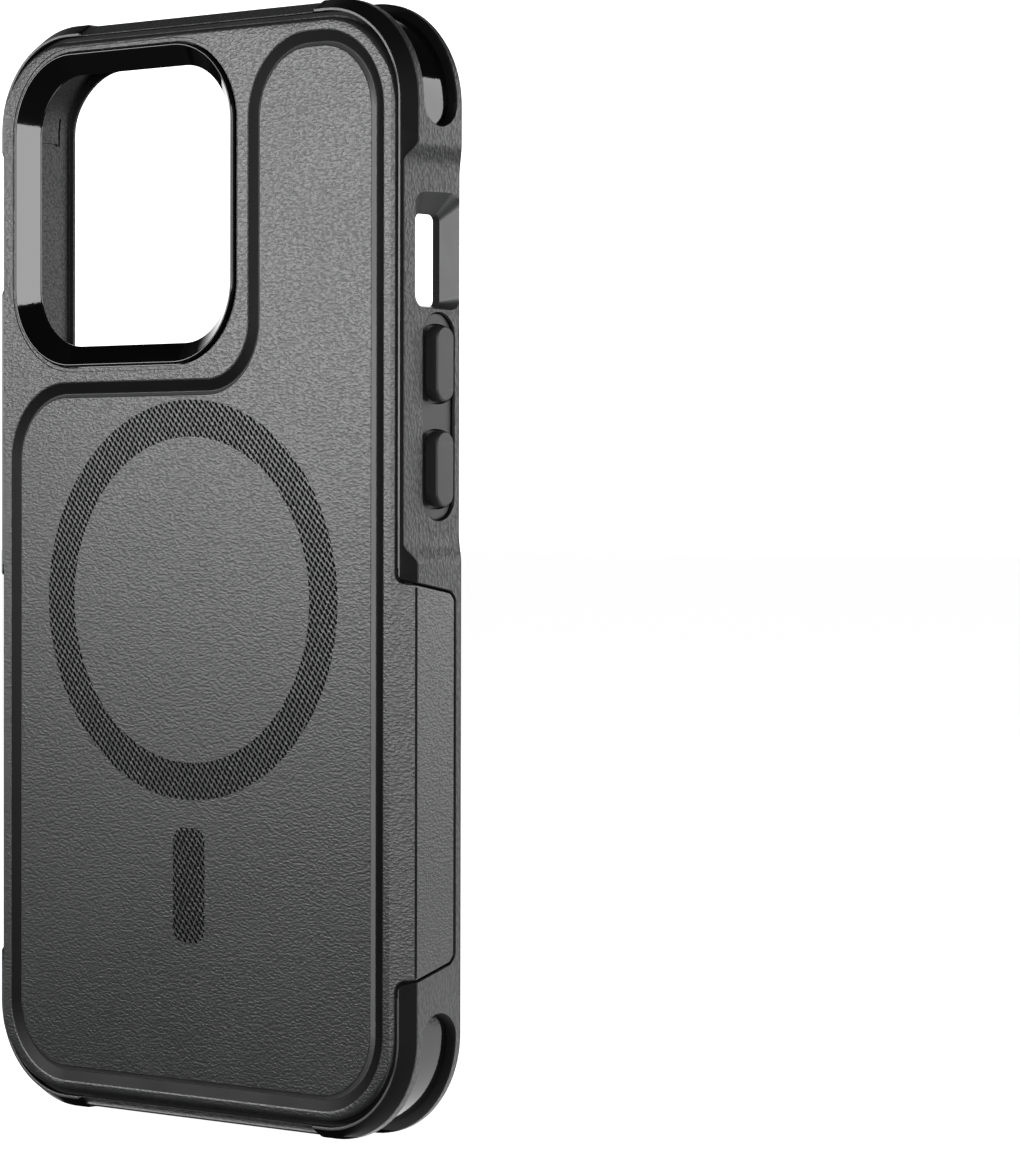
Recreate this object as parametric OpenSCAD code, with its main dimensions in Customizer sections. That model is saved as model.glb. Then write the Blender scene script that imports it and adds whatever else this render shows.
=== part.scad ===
// Rugged two-shell phone case.
// A soft bumper holds the phone, a hard back plate with two side wings lies on it,
// and a glossy bezel frames the camera window. The keys slide in smooth strips in the
// side walls, and a ring of magnets lies between the two shells.
// The case stands upright: +Z is the phone's top, +Y is the way the screen faces,
// and the outer back faces -Y. The origin is the middle of the bottom edge.

/* [Phone] */
// Width of the phone that the case holds
phone_w = 71.5; // [70.5:0.5:72.5]
// Height of the phone that the case holds
phone_h = 147.5; // [146.5:0.5:148.5]
// Thickness of the phone that the case holds
phone_t = 7.85; // [7.4:0.05:8.3]
// Corner radius of the phone, seen from the back
phone_r = 10.4; // [9.5:0.1:11]
// Room left round the phone on each side
phone_room = 0.1; // [0.05:0.05:0.2]

/* [Case body] */
// Overall width across the wings
case_w = 80; // [79:0.5:82]
// Overall height across the corner bands
case_h = 155.6; // [154.8:0.2:157]
// Thickness from the outer back to the lip
case_t = 12.9; // [12.6:0.1:13.4]
// Corner radius of the outline, seen from the back
case_r = 14.8; // [13.5:0.1:15.5]
// Thickness of the two shells together behind the phone
back_wall = 3.7; // [3.5:0.1:3.9]
// Width of the bevel round the back
back_bevel = 2.55; // [2.2:0.05:2.7]
// Width of the bevel round the front, along the face
front_bevel_w = 1.7; // [1.2:0.1:1.9]
// Depth of the bevel round the front
front_bevel_d = 1.0; // [0.6:0.1:1.2]
// How far the lip reaches over the screen at the sides
lip_side = 0.8; // [0.5:0.1:1.1]
// How far the lip reaches over the screen at the ends
lip_end = 1.8; // [1.2:0.1:2.2]
// Depth of the grip recess in the side walls
waist = 0.8; // [0.6:0.1:1.2]
// How far the corner bands stand above the back bevel
band = 0.42; // [0.2:0.02:0.6]

/* [Back plate] */
// Thickness of the hard back plate
plate_t = 1.6; // [1.4:0.1:1.8]
// Width of the plate without its wings
plate_w = 75.9; // [75.5:0.1:76.2]
// Height of the plate
plate_h = 150.2; // [149.8:0.1:150.4]
// Corner radius of the plate
plate_r = 12.6; // [11.8:0.1:13]
// Thickness of the wings on the side walls
wing_t = 1.0; // [0.8:0.1:1.2]
// Width of the groove round the raised panel
groove_w = 2.3; // [1.8:0.1:2.6]
// Depth of the groove round the raised panel
groove_d = 0.5; // [0.3:0.1:0.7]

/* [Camera window] */
// Middle of the window, to the right of the case's middle
window_x = -13.05; // [-13.5:0.05:-12.6]
// Middle of the window, above the case's middle
window_z = 51.1; // [50.6:0.1:51.6]
// Clear width of the window
window_w = 37.5; // [36.5:0.1:38]
// Clear height of the window
window_h = 38.9; // [38:0.1:39.4]
// Corner radius of the clear window
window_r = 8.5; // [7.5:0.1:9]
// Width of the sloping bezel round the window
bezel_w = 3.0; // [2.6:0.1:3.1]
// How far the bezel stands out of the back
bezel_out = 0.5; // [0.3:0.1:0.6]

/* [Keys] */
// Middle of the keys, measured from the outer back
key_y = 8.0; // [7.8:0.1:8.2]
// Width of a key
key_w = 3.55; // [3.2:0.05:3.8]
// Length of a volume key
volume_key_l = 10.2; // [9.6:0.1:10.6]
// Length of the power key
power_key_l = 15.6; // [14:0.1:16]
// Width of the smooth strip that carries the keys
strip_w = 6.2; // [5.9:0.1:6.4]

/* [Magnet ring] */
// Outer radius of the ring mark
ring_r = 28; // [27.5:0.1:28.5]
// Width of the ring mark
ring_w = 5.2; // [4.8:0.1:5.6]
// Number of arc magnets in the ring
magnet_count = 18; // [12:2:24]
// Thickness of the magnets
magnet_t = 0.8; // [0.6:0.1:0.9]

/* [Hidden] */
$fn = 96;
e = 1;
half_w = case_w / 2;
half_h = case_h / 2;
pocket_w = phone_w + 2 * phone_room;
pocket_h = phone_h + 2 * phone_room;
pocket_r = phone_r + phone_room;
screen_y = back_wall + phone_t + phone_room;
corner_x = half_w - case_r;
corner_z = half_h - case_r;
// The part's own frame puts the bottom edge at z = 0 and the middle of its depth at y = 0
shift_y = (bezel_out - case_t) / 2;

// Corner bands: they end where the plain top and bottom strips begin
band_x = 22.3;
strip_drop = 0.3;
// Grip recesses: the right one holds the switch opening and the volume keys
grip_right = [1.0, 57.4];
grip_left = [-0.5, 60.3];
thumb_notch = [39.8, 60.3];
thumb_drop = 0.3;
grip_ramp = 1.6;

// Side wings of the back plate, as y and z points of their outline seen from the side
wing_deep = 10.3;
wing_top = -4.0;
wing_bottom = -52.2;
wing_outline = [
    [-e, -0.4], [0.6, -0.4], [1.3, -1.6], [back_bevel, -1.95], [wing_deep - 1, wing_top + 0.95],
    [wing_deep, wing_top], [wing_deep, wing_bottom], [wing_deep - 1, wing_bottom - 0.95],
    [back_bevel, -55.05], [1.4, -55.3], [0.6, -56.5], [-e, -56.5]
];

// Raised panel: a tall block beside the window that widens below it
panel_half_w = 34.0;
panel_top = 71.2;
panel_bottom = -71.6;
panel_step_x = 13.4;
panel_step_z = 24.2;
panel_r = 9;
panel_inner_r = 10;

// Switch opening, funnel-shaped
switch_z = 42.5;
switch_hole_l = 12.6;
switch_hole_w = 5.0;
switch_funnel = 2.1;
switch_r = 1.3;

// Bezel: a narrow flat rim, a slope down to the window, and a flange behind the plate
bezel_rim = 0.45;
bezel_in = 2.0;
bezel_flange = 0.7;
bezel_flange_y = 2.2;

// Key strips
wall_x = half_w - waist;
strip_sink = 0.5;
strip_x = wall_x - strip_sink;
strip_t = 2.0;
volume_strip_z = 20.8;
volume_strip_l = 28;
volume_up_z = 27.9;
volume_down_z = 13.7;
power_z = 21;
power_strip_l = 22;
key_proud = 1.7;
moat_gap = 0.4;
moat_d = 1.0;
key_root = 0.4;
stem_w = 1.8;
stem_gap = 0.3;
flange_t = 0.45;
flange_w = 2.8;

// Corner guards lie at the bottom of slots round the corners
slot_y = 7.4;
slot_w = 6.5;
slot_d = 1.3;
guard_w = 6.3;
guard_t = 0.9;
slot_run = 1.0;

// Magnet ring and the upright magnet below it
ring_z = -4.4;
bar_drop = 39.94;
bar_w = 6.1;
bar_h = 16.1;
film_t = 0.15;
mark_t = 0.1;
magnet_side = 0.6;
magnet_gap = 0.5;

// Bottom openings
port_w = 14;
port_h = 6.4;
port_y = 7.65;
speaker_x = 15.4;
speaker_w = 9.2;
speaker_h = 3.2;

// Puts a shape drawn about the middle of the outer back into the part's own frame
module place() {
    translate([0, shift_y, half_h]) children();
}

// Extrudes a flat outline, drawn in x and z, from y0 to y1
module slab(y0, y1) {
    rotate([90, 0, 0]) translate([0, 0, -y1]) linear_extrude(y1 - y0) children();
}

// Extrudes a flat outline, drawn in y and z, from x0 to x1
module side_slab(x0, x1) {
    translate([x0, 0, 0]) rotate([90, 0, 90]) linear_extrude(x1 - x0) children();
}

// Flat rectangle with round corners
module round_rect(w, h, r) {
    square([w - 2 * r, h], center = true);
    square([w, h - 2 * r], center = true);
    for (sx = [-1, 1], sz = [-1, 1])
        translate([sx * (w / 2 - r), sz * (h / 2 - r)]) circle(r = r);
}

// Flat outline with half-round ends, standing upright
module pill(w, l) {
    square([w, l - w], center = true);
    for (s = [-1, 1]) translate([0, s * (l - w) / 2]) circle(r = w / 2);
}

// Section of a bevelled edge: reach is how far the edge lies from the middle
function edge_profile(reach, y0, y1, b0, fw, fd) = [
    [0, y0], [reach - b0, y0], [reach, y0 + b0], [reach, y1 - fd], [reach - fw, y1], [0, y1]
];

// Slab with round corners, an even bevel at the back and a wide one at the front
module bevelled_slab(w, h, r, y0, y1, b0, fw, fd) {
    for (s = [0, 1]) mirror([s, 0, 0]) linear_extrude(h - 2 * r, center = true)
        polygon(edge_profile(w / 2, y0, y1, b0, fw, fd));
    for (s = [0, 1]) mirror([0, 0, s]) rotate([0, -90, 0]) linear_extrude(w - 2 * r, center = true)
        polygon(edge_profile(h / 2, y0, y1, b0, fw, fd));
    for (sx = [-1, 1], sz = [-1, 1])
        translate([sx * (w / 2 - r), 0, sz * (h / 2 - r)]) rotate([-90, 0, 0])
            rotate_extrude() polygon(edge_profile(r, y0, y1, b0, fw, fd));
}

// Opening that narrows from y0 to y1, where it is w by h; grow is how far it opens at y0
module funnel(w, h, r, y0, y1, grow) {
    for (s = [0, 1]) mirror([s, 0, 0]) linear_extrude(h - 2 * r, center = true)
        polygon([[0, y0], [w / 2 + grow, y0], [w / 2, y1], [0, y1]]);
    for (s = [0, 1]) mirror([0, 0, s]) rotate([0, -90, 0]) linear_extrude(w - 2 * r, center = true)
        polygon([[0, y0], [h / 2 + grow, y0], [h / 2, y1], [0, y1]]);
    for (sx = [-1, 1], sz = [-1, 1])
        translate([sx * (w / 2 - r), 0, sz * (h / 2 - r)]) rotate([-90, 0, 0])
            rotate_extrude() polygon([[0, y0], [r + grow, y0], [r, y1], [0, y1]]);
}

// Grip recess in a side wall, with a ramp at each end
module grip_cut(span) {
    slab(-e, case_t + e) polygon([
        [half_w + e, span[0] - grip_ramp], [half_w, span[0]], [half_w - waist, span[0] + grip_ramp],
        [half_w - waist, span[1] - grip_ramp], [half_w, span[1]], [half_w + e, span[1] + grip_ramp]
    ]);
}

// Lowers the back bevel beside the upper left grip recess
module thumb_notch_cut() {
    reach = half_w - back_bevel;
    translate([0, 0, thumb_notch[0]]) linear_extrude(thumb_notch[1] - thumb_notch[0]) polygon([
        [reach - e, -e - thumb_drop], [reach + back_bevel, back_bevel - thumb_drop],
        [half_w + e, back_bevel - thumb_drop], [half_w + e, -e - thumb_drop]
    ]);
}

// Lowers the strip between the corner bands at the top edge, and its bevel with it
module end_strip_cut() {
    reach = half_h - back_bevel;
    rotate([0, -90, 0]) linear_extrude(2 * band_x, center = true) polygon([
        [reach - e, -e], [reach + back_bevel - strip_drop, back_bevel - strip_drop],
        [half_h - strip_drop, case_t + e], [half_h + e, case_t + e], [half_h + e, -e]
    ]);
}

// Room in the bumper for a wing: a bevelled corner of even thickness
module wing_room(x_in) {
    intersection() {
        side_slab(half_w - 6, half_w + e) polygon(wing_outline);
        difference() {
            translate([half_w - 6, -e, -half_h]) cube([6 + e, case_t, case_h]);
            linear_extrude(case_h, center = true) polygon([
                [0, plate_t], [x_in - back_bevel + plate_t, plate_t],
                [x_in, back_bevel + wing_t * 0.4], [x_in, case_t], [0, case_t]
            ]);
        }
    }
}

// One corner slot, from radius r0 to r1 round the corner and a little way along the end
module corner_sweep(r0, r1, w) {
    translate([corner_x, slot_y, corner_z]) {
        rotate([-90, 0, 0]) rotate([0, 0, -90]) rotate_extrude(angle = 90)
            translate([r0, -w / 2]) square([r1 - r0, w]);
        translate([r0, 0, 0]) rotate([0, 90, 0]) cylinder(r = w / 2, h = r1 - r0);
        translate([-slot_run, -w / 2, r0]) cube([slot_run, w, r1 - r0]);
        translate([-slot_run, 0, r0]) cylinder(r = w / 2, h = r1 - r0);
    }
}

// Repeats a shape of the top right corner at all four corners
module four_corners() {
    for (sx = [0, 1], sz = [0, 1]) mirror([sx, 0, 0]) mirror([0, 0, sz]) children();
}

// Key hole through a side wall: a pocket for the strip and a slot for the key's flange
module strip_pocket(z, l) {
    translate([0, key_y, z]) side_slab(strip_x - strip_t, half_w + e) pill(strip_w, l);
}

module flange_slot(z, key_l) {
    translate([0, key_y, z]) side_slab(pocket_w / 2 - e, wall_x)
        pill(flange_w + 2 * stem_gap, key_l - 2);
}

module switch_opening() {
    translate([wall_x, key_y, switch_z]) rotate([0, 0, 90]) {
        funnel(switch_hole_w, switch_hole_l, switch_r, 0, switch_funnel, switch_funnel);
        slab(switch_funnel - 0.1, 5) round_rect(switch_hole_w, switch_hole_l, switch_r);
        slab(-2, 0) round_rect(switch_hole_w + 2 * switch_funnel,
            switch_hole_l + 2 * switch_funnel, switch_r + switch_funnel);
    }
}

module bottom_openings() {
    translate([0, port_y, -half_h]) {
        translate([0, 0, -e]) linear_extrude(8) rotate(90) pill(port_h, port_w);
        for (s = [-1, 1]) translate([s * speaker_x, 0, -e])
            linear_extrude(8) rotate(90) pill(speaker_h, speaker_w);
    }
}

module magnet_outline(grow) {
    difference() {
        circle(r = ring_r - magnet_side + grow);
        circle(r = ring_r - ring_w + magnet_side - grow);
    }
}

module at_ring() {
    translate([0, 0, ring_z]) children();
}

module at_bar() {
    translate([0, 0, ring_z - bar_drop]) children();
}

module bumper() {
    color([0.16, 0.16, 0.165]) place() difference() {
        bevelled_slab(case_w, case_h, case_r, 0, case_t, back_bevel - band, front_bevel_w, front_bevel_d);
        // Room for the back plate and its wings
        slab(-e, plate_t) round_rect(plate_w + 0.2, plate_h + 0.2, plate_r + 0.1);
        for (s = [0, 1]) mirror([s, 0, 0]) wing_room(half_w - wing_t);
        // Grip recesses and the lower strips at the ends
        grip_cut(grip_right);
        mirror([1, 0, 0]) grip_cut(grip_left);
        mirror([1, 0, 0]) thumb_notch_cut();
        for (s = [0, 1]) mirror([0, 0, s]) end_strip_cut();
        // Pocket for the phone, and the opening for its screen
        slab(back_wall, screen_y) round_rect(pocket_w, pocket_h, pocket_r);
        slab(screen_y - e, case_t + e)
            round_rect(pocket_w - 2 * lip_side, pocket_h - 2 * lip_end, pocket_r - lip_side);
        // Camera window, wider than the bezel
        translate([window_x, 0, window_z]) slab(0, back_wall + e)
            round_rect(window_w + 3.4, window_h + 3.4, window_r + 1.7);
        translate([window_x, 0, window_z]) slab(0, 2.3)
            round_rect(window_w + 2 * bezel_w + 1.6, window_h + 2 * bezel_w + 1.6, window_r + bezel_w + 0.8);
        // Slots round the corners and the beds of the guards
        four_corners() corner_sweep(case_r - slot_d, case_r + e, slot_w);
        four_corners() corner_sweep(case_r - slot_d - guard_t, case_r - slot_d + 0.01, guard_w);
        // Side openings
        switch_opening();
        strip_pocket(volume_strip_z, volume_strip_l);
        flange_slot(volume_up_z, volume_key_l);
        flange_slot(volume_down_z, volume_key_l);
        mirror([1, 0, 0]) strip_pocket(power_z, power_strip_l);
        mirror([1, 0, 0]) flange_slot(power_z, power_key_l);
        bottom_openings();
        // Shallow beds for the magnets
        at_ring() slab(plate_t - e, plate_t + film_t + magnet_t) magnet_outline(0.1);
        at_bar() slab(plate_t - e, plate_t + film_t + magnet_t) round_rect(bar_w + 0.2, bar_h + 0.2, 2.1);
    }
}

module panel_outline(grow) {
    r = panel_r + grow;
    w = 2 * (panel_half_w + grow);
    top = panel_top + grow;
    bottom = panel_bottom - grow;
    left = panel_step_x - grow;
    shelf = panel_step_z + grow;
    difference() {
        union() {
            // Tall block beside the window
            translate([(left + w / 2) / 2, (top + bottom) / 2])
                round_rect(w / 2 - left, top - bottom, r);
            // Wide block below the window
            translate([0, (shelf + bottom) / 2]) round_rect(w, shelf - bottom, r);
            // Fills the inner corner before it is rounded
            translate([left - panel_inner_r + grow, shelf - r])
                square([panel_inner_r + r - grow, panel_inner_r + r - grow]);
        }
        translate([left - panel_inner_r + grow, shelf + panel_inner_r - grow])
            circle(r = panel_inner_r - grow);
    }
}

module window_outline(grow) {
    translate([window_x, window_z]) round_rect(window_w + 2 * bezel_w + 2 * grow,
        window_h + 2 * bezel_w + 2 * grow, window_r + bezel_w + grow);
}

module wing() {
    intersection() {
        bevelled_slab(case_w, case_h, case_r, 0, case_t, back_bevel, 0, 0);
        side_slab(half_w - 6, half_w + e) polygon(wing_outline);
        difference() {
            translate([plate_w / 2 - e, -e, -half_h]) cube([6 + e, case_t, case_h]);
            linear_extrude(case_h, center = true) polygon([
                [0, plate_t], [half_w - wing_t - back_bevel + plate_t, plate_t],
                [half_w - wing_t, back_bevel + wing_t * 0.4], [half_w - wing_t, case_t], [0, case_t]
            ]);
        }
    }
}

module back_plate() {
    color([0.33, 0.33, 0.34]) place() {
        difference() {
            union() {
                intersection() {
                    bevelled_slab(case_w, case_h, case_r, 0, case_t, back_bevel, 0, 0);
                    slab(0, plate_t) round_rect(plate_w, plate_h, plate_r);
                }
                for (s = [0, 1]) mirror([s, 0, 0]) wing();
            }
            // Groove round the raised panel
            slab(-e, groove_d) difference() {
                panel_outline(groove_w);
                panel_outline(0);
            }
            slab(-e, plate_t + e) window_outline(0.05);
            // Shallow beds for the ring mark and the bar mark
            at_ring() slab(-e, mark_t) difference() {
                circle(r = ring_r);
                circle(r = ring_r - ring_w);
            }
            at_bar() slab(-e, mark_t) round_rect(bar_w, bar_h, 2);
        }
    }
}

module camera_bezel() {
    color([0.05, 0.05, 0.055]) place() difference() {
        union() {
            slab(-bezel_out, plate_t) window_outline(0);
            slab(plate_t, bezel_flange_y) window_outline(bezel_flange);
        }
        translate([window_x, 0, window_z]) {
            funnel(window_w, window_h, window_r, -bezel_out, bezel_in, bezel_w - bezel_rim);
            slab(-bezel_out - e, 3) round_rect(window_w, window_h, window_r);
        }
    }
}

module corner_guard(right, top) {
    color([0.05, 0.05, 0.055]) place()
        mirror([right ? 0 : 1, 0, 0]) mirror([0, 0, top ? 0 : 1])
            corner_sweep(case_r - slot_d - guard_t, case_r - slot_d, guard_w);
}

// Smooth strip with a moat across it for each key and a slot for each stem
module key_strip(z, l, keys, key_l) {
    difference() {
        translate([0, key_y, z]) side_slab(strip_x - strip_t, strip_x) pill(strip_w, l);
        for (kz = keys) translate([strip_x, key_y, kz]) {
            side_slab(-moat_d, e) square([strip_w + e, key_l + 2 * moat_gap], center = true);
            side_slab(-strip_t - e, 0) pill(stem_w + 2 * stem_gap, key_l - 2.4);
        }
    }
}

// Key with its stem through the strip and a flange that keeps it from coming out
module key(z, key_l) {
    translate([strip_x, key_y, z]) {
        side_slab(-key_root, key_proud) pill(key_w, key_l);
        side_slab(-strip_t - 0.2, 0) pill(stem_w, key_l - 3);
        side_slab(-strip_t - 0.1 - flange_t, -strip_t - 0.1) pill(flange_w, key_l - 2.6);
    }
}

module volume_key_strip() {
    color([0.24, 0.24, 0.245]) place()
        key_strip(volume_strip_z, volume_strip_l, [volume_up_z, volume_down_z], volume_key_l);
}

module power_key_strip() {
    color([0.24, 0.24, 0.245]) place() mirror([1, 0, 0])
        key_strip(power_z, power_strip_l, [power_z], power_key_l);
}

module volume_up_key() {
    color([0.3, 0.3, 0.31]) place() key(volume_up_z, volume_key_l);
}

module volume_down_key() {
    color([0.3, 0.3, 0.31]) place() key(volume_down_z, volume_key_l);
}

module power_key() {
    color([0.3, 0.3, 0.31]) place() mirror([1, 0, 0]) key(power_z, power_key_l);
}

module ring_mark() {
    color([0.03, 0.03, 0.03]) place() at_ring() slab(0, mark_t) difference() {
        circle(r = ring_r);
        circle(r = ring_r - ring_w);
    }
}

module bar_mark() {
    color([0.03, 0.03, 0.03]) place() at_bar() slab(0, mark_t) round_rect(bar_w, bar_h, 2);
}

// Arc magnets side by side, with a small gap between them
module magnet_segments() {
    color([0.6, 0.6, 0.62]) place() at_ring() slab(plate_t + film_t, plate_t + film_t + magnet_t)
        difference() {
            magnet_outline(0);
            for (k = [0:magnet_count - 1]) rotate(k * 360 / magnet_count)
                translate([0, -magnet_gap / 2]) square([ring_r + e, magnet_gap]);
        }
}

module magnet_film() {
    color([0.85, 0.84, 0.8]) place() at_ring() slab(plate_t, plate_t + film_t) magnet_outline(0);
}

module alignment_magnet() {
    color([0.6, 0.6, 0.62]) place() at_bar()
        slab(plate_t + film_t, plate_t + film_t + magnet_t) round_rect(bar_w, bar_h, 2);
}

module alignment_film() {
    color([0.85, 0.84, 0.8]) place() at_bar() slab(plate_t, plate_t + film_t) round_rect(bar_w, bar_h, 2);
}

bumper();
back_plate();
camera_bezel();
corner_guard(true, true);  // corner_guard_top_right
corner_guard(false, true);  // corner_guard_top_left
corner_guard(true, false);  // corner_guard_bottom_right
corner_guard(false, false);  // corner_guard_bottom_left
volume_key_strip();
power_key_strip();
volume_up_key();
volume_down_key();
power_key();
ring_mark();
bar_mark();
magnet_segments();
magnet_film();
alignment_magnet();
alignment_film();
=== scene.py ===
# %% [markdown]
# # A rugged phone case
# The case is two shells: a soft bumper that grips the phone, and a hard back plate with two side
# wings. A glossy bezel frames the camera window, keys slide in the side walls, and magnets hide
# between the shells. The CAD model already fixes every size, so this file loads it as a frame and
# builds finer meshes over it, with real edges, grooves and finishes.

# %% Load the frame
import math
import bpy
import bmesh
import numpy as np
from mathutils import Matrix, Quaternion, Vector
from mathutils.geometry import delaunay_2d_cdt


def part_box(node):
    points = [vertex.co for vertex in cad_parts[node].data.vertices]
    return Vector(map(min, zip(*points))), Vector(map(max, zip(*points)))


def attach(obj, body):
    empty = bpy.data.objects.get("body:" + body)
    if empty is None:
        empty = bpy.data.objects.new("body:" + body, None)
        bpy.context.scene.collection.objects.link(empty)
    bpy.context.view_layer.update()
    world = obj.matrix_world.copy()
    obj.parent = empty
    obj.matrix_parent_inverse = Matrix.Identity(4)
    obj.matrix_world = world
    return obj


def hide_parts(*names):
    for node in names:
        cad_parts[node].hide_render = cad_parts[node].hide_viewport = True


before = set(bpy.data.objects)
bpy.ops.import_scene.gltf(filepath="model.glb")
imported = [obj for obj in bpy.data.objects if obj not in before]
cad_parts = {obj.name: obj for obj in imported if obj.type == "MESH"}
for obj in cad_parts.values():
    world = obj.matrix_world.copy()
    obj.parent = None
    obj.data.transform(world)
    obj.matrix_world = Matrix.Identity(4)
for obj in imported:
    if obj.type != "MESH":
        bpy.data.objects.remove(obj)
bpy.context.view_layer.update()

# %% [markdown]
# ## Working coordinates
# Small products are drawn in millimetres. Every outline below is measured from the middle of the
# outer back: x to the right, y into the case, z up. One function turns such points into metres in
# the shared frame, so a size on a drawing can be typed in as it is.

# %% Millimetres about the middle of the outer back
MM = 0.001
bumper_low, bumper_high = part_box("bumper")
back_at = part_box("back_plate")[0][1]
middle_at = (bumper_low[2] + bumper_high[2]) / 2
half_w = bumper_high[0] / MM
half_h = (bumper_high[2] - bumper_low[2]) / 2 / MM
thickness = (bumper_high[1] - back_at) / MM


def to_frame(points):
    """Millimetres about the middle of the outer back, as metres in the frame."""
    return np.asarray(points, float) * MM + np.array([0.0, back_at, middle_at])


print("half width, half height, thickness in mm:",
      round(half_w, 2), round(half_h, 2), round(thickness, 2))

# %% [markdown]
# ## Camera and light first
# A tall, thin object is easiest to judge from the view it is meant to be seen from, so the camera
# comes before any piece. A long lens about 0.6 m away gives the mild perspective of a product
# picture. The case stands to the left of the middle, because the camera looks past its right side.

# %% Camera
view_turn = math.radians(39.85)
view_tip = math.radians(0.77)
view_roll = math.radians(0.11)
view_distance = 592.0
aim = np.array([34.65, 28.5, -1.53])
ahead = np.array([
    -math.sin(view_turn) * math.cos(view_tip),
    math.cos(view_turn) * math.cos(view_tip),
    -math.sin(view_tip),
])
camera_data = bpy.data.cameras.new("camera")
camera_data.lens = 131.55
camera_data.sensor_width = 36.0
camera_data.clip_start = 0.01
camera = bpy.data.objects.new("camera", camera_data)
camera.location = Vector(to_frame(aim - view_distance * ahead))
look = Vector(ahead).to_track_quat("-Z", "Y") @ Quaternion((0.0, 0.0, 1.0), view_roll)
camera.rotation_euler = look.to_euler()
bpy.context.scene.collection.objects.link(camera)
bpy.context.scene.camera = camera
print("camera stands at", [round(v, 3) for v in camera.location])

# %% [markdown]
# ## Outlines
# Almost every edge of this case is a straight line that runs into an arc. So an outline is typed
# as a few corners, each with its own radius, and a function cuts the arcs into short steps. A
# second function grows or shrinks an outline, which is how grooves, rims and rounded edges are
# made: each is a band between two copies of one outline.

# %% Outlines with round corners
ARC_STEP = 4.0


def round_outline(corners, step=ARC_STEP, pieces=None, owners=False):
    """Closed outline from corners (u, v, radius), anticlockwise."""
    points, owner = [], []
    count = len(corners)
    for i, (u, v, radius) in enumerate(corners):
        here = np.array([u, v], float)
        before = np.array(corners[i - 1][:2], float) - here
        after = np.array(corners[(i + 1) % count][:2], float) - here
        before /= np.linalg.norm(before)
        after /= np.linalg.norm(after)
        if radius <= 0:
            points.append(here)
            owner.append(i)
            continue
        opening = math.acos(max(-1.0, min(1.0, float(before @ after))))
        reach = radius / math.tan(opening / 2)
        middle = before + after
        middle /= np.linalg.norm(middle)
        centre = here + middle * radius / math.sin(opening / 2)
        first = here + before * reach - centre
        turn = math.pi - opening
        if before[0] * after[1] - before[1] * after[0] > 0:
            turn = -turn
        parts = pieces or max(2, math.ceil(abs(math.degrees(turn)) / step))
        for k in range(parts + 1):
            c, s = math.cos(turn * k / parts), math.sin(turn * k / parts)
            turned = np.array([c * first[0] - s * first[1], s * first[0] + c * first[1]])
            points.append(centre + turned)
            owner.append(i)
    if owners:
        return np.array(points), owner
    step_to = np.linalg.norm(np.roll(points, -1, axis=0) - points, axis=1)
    return np.array(points)[step_to > 1e-6]


def grow(outline, distance):
    """The outline moved outwards by a distance, or inwards by a negative one."""
    back = outline - np.roll(outline, 1, axis=0)
    on = np.roll(outline, -1, axis=0) - outline
    back /= np.linalg.norm(back, axis=1)[:, None]
    on /= np.linalg.norm(on, axis=1)[:, None]
    out_a = np.stack([back[:, 1], -back[:, 0]], axis=1)
    out_b = np.stack([on[:, 1], -on[:, 0]], axis=1)
    mitre = out_a + out_b
    mitre /= (1 + np.sum(out_a * out_b, axis=1))[:, None]
    return outline + np.reshape(distance, (-1, 1)) * mitre


def round_rect(mid_u, mid_v, width, height, radius, step=ARC_STEP):
    """Rectangle with equal round corners."""
    a, b = width / 2, height / 2
    signs = [(-1, -1), (1, -1), (1, 1), (-1, 1)]
    return round_outline([(mid_u + su * a, mid_v + sv * b, radius) for su, sv in signs], step)


def inside(points, outline):
    """Which points lie inside a closed outline."""
    u, v = points[:, 0, None], points[:, 1, None]
    u0, v0 = outline[:, 0], outline[:, 1]
    u1, v1 = np.roll(u0, -1), np.roll(v0, -1)
    rise = np.where(v1 == v0, 1.0, v1 - v0)
    crossing = ((v0 > v) != (v1 > v)) & (u < u0 + (v - v0) / rise * (u1 - u0))
    return crossing.sum(axis=1) % 2 == 1


def cut_at(outline, u_values):
    """Adds a point wherever the outline crosses one of the given u values."""
    points = []
    for i, here in enumerate(outline):
        there = outline[(i + 1) % len(outline)]
        points.append(here)
        low, high = sorted([here[0], there[0]])
        crossed = [u for u in u_values if low + 1e-6 < u < high - 1e-6]
        crossed.sort(reverse=bool(here[0] > there[0]))
        for u in crossed:
            share = (u - here[0]) / (there[0] - here[0])
            points.append(here + share * (there - here))
    return np.array(points)


def ties_at(outline, u_values):
    """Pairs of outline points that share one of the given u values, as ties across the outline."""
    ties = []
    for u in u_values:
        found = [i for i in range(len(outline)) if abs(outline[i][0] - u) < 1e-6]
        found.sort(key=lambda i: outline[i][1])
        ties.extend(((0, a), (0, b)) for a, b in zip(found[::2], found[1::2]))
    return ties


print("a rounded square of side 10 has", len(round_rect(0, 0, 10, 10, 2)), "points")

# %% [markdown]
# ## From outlines to a closed mesh
# A moulded part is a set of bands between outlines, closed by flat faces. The `Piece` below keeps
# that simple: `ring` stores an outline, `skin` joins rings with four-sided faces, and `fill`
# covers the area between outlines with triangles (a constrained Delaunay triangulation, which
# keeps every edge that it is given). `stack` does the first two for copies of one outline at
# several depths, and `column` closes such a stack at both ends. Outlines are always drawn flat,
# and a surface function places them in the case. Modelling with booleans alone would be quicker
# to type, but it leaves ragged edges that catch the light badly.

# %% Piece: rings, skins and fills


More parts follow.
